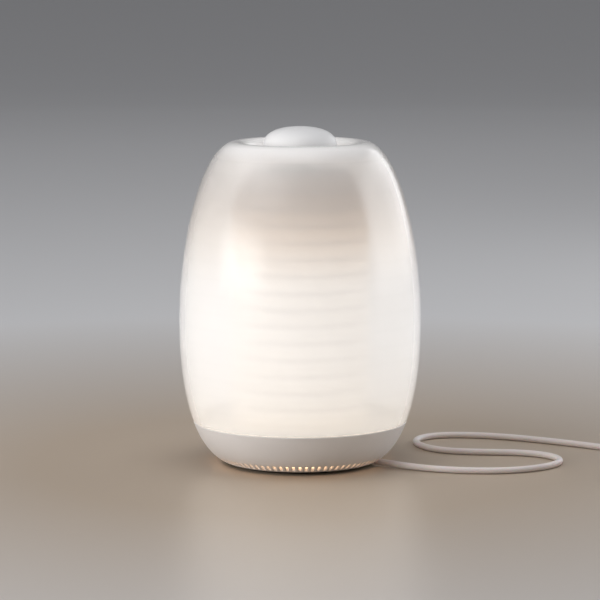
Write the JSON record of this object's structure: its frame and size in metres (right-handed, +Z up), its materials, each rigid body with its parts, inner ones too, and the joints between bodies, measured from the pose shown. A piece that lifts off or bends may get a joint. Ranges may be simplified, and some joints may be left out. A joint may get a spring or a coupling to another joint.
{
  "type": "table speaker with light",
  "caption": "Barrel-shaped glowing speaker: opal shade on a slotted white bowl, dome knob in a recessed top, ribbed inner diffuser, down-firing driver, and a round mains lead.",
  "frame": {"origin": "centre of the foot ring on the surface it stands on", "axes": "+Z up, -Y towards the front"},
  "size_m": [0.4039, 0.1896, 0.2514],
  "materials": {
    "opal_shade": "smooth glossy opal shell, lit from inside",
    "white_body": "fine satin white moulded plastic",
    "inner_white": "white reflector plastic",
    "diffuser": "frosted ribbed diffuser",
    "foot_rubber": "dark soft rubber",
    "dark_plastic": "textured dark plastic",
    "circuit_board": "green solder mask",
    "led_strip": "white strips with yellow lamps",
    "steel": "plain zinc-plated steel",
    "magnet": "sintered magnet, dark grey",
    "paper_cone": "pressed paper and cloth",
    "alloy": "extruded aluminium",
    "brass": "turned brass and copper",
    "cord_sheath": "satin off-white cord sheath",
    "plug_metal": "nickel-plated pins",
    "tie_fabric": "woven strap"
  },
  "bodies": {
    "housing": {"shade": "opal_shade", "shade_gasket": "opal_shade", "base_bowl": "white_body", "top_dish": "white_body", "chassis_ring": "inner_white", "reflector_plate": "inner_white", "diffuser_cap": "inner_white", "inner_diffuser": "diffuser", "slot_mesh": "diffuser", "foot_ring": "foot_rubber", "driver_surround": "foot_rubber", "bottom_cover": "dark_plastic", "baffle": "dark_plastic", "speaker_chamber": "dark_plastic", "amp_chip": "dark_plastic", "transformer": "dark_plastic", "capacitor": "dark_plastic", "signal_harness": "dark_plastic", "glow_board": "circuit_board", "main_board": "circuit_board", "power_board": "circuit_board", "encoder_board": "circuit_board", "mic_board": "circuit_board", "led_strip_1": "led_strip", "led_strip_2": "led_strip", "led_strip_3": "led_strip", "led_strip_4": "led_strip", "led_strip_5": "led_strip", "led_strip_6": "led_strip", "cover_screw_1": "steel", "cover_screw_2": "steel", "cover_screw_3": "steel", "cover_screw_4": "steel", "radio_can": "steel", "driver_basket": "steel", "top_plate": "steel", "yoke": "steel", "encoder_body": "steel", "encoder_nut": "steel", "knob_spring": "steel", "magnet_ring": "magnet", "spider": "paper_cone", "light_column": "alloy", "column_head": "alloy", "cord_run": "cord_sheath", "cord_coil": "cord_sheath", "cord_tail": "cord_sheath", "plug_body": "cord_sheath", "strain_relief": "cord_sheath", "plug_pin_1": "plug_metal", "plug_pin_2": "plug_metal", "cord_tie": "tie_fabric"},
    "plunger": {"switch_plunger": "dark_plastic"},
    "knob": {"knob_cap": "white_body", "knob_insert": "brass", "knob_shaft": "steel"},
    "cone": {"driver_cone": "paper_cone", "dust_cap": "paper_cone", "voice_coil": "brass"}
  },
  "joints": [
    {"name": "knob_press", "type": "slide", "parent": "housing", "child": "plunger", "axis": [0, 0, -1], "range_m": [0, 0.0015], "stiffness_N_per_m": 2500, "springref_m": -0.0004, "deforming": ["knob_spring"]},
    {"name": "knob_turn", "type": "hinge", "parent": "plunger", "child": "knob", "pos_m": [0, 0, 0.238], "axis": [0, 0, 1], "continuous": true},
    {"name": "cone_travel", "type": "slide", "parent": "housing", "child": "cone", "axis": [0, 0, -1], "range_m": [-0.002, 0.002], "stiffness_N_per_m": 1500}
  ]
}
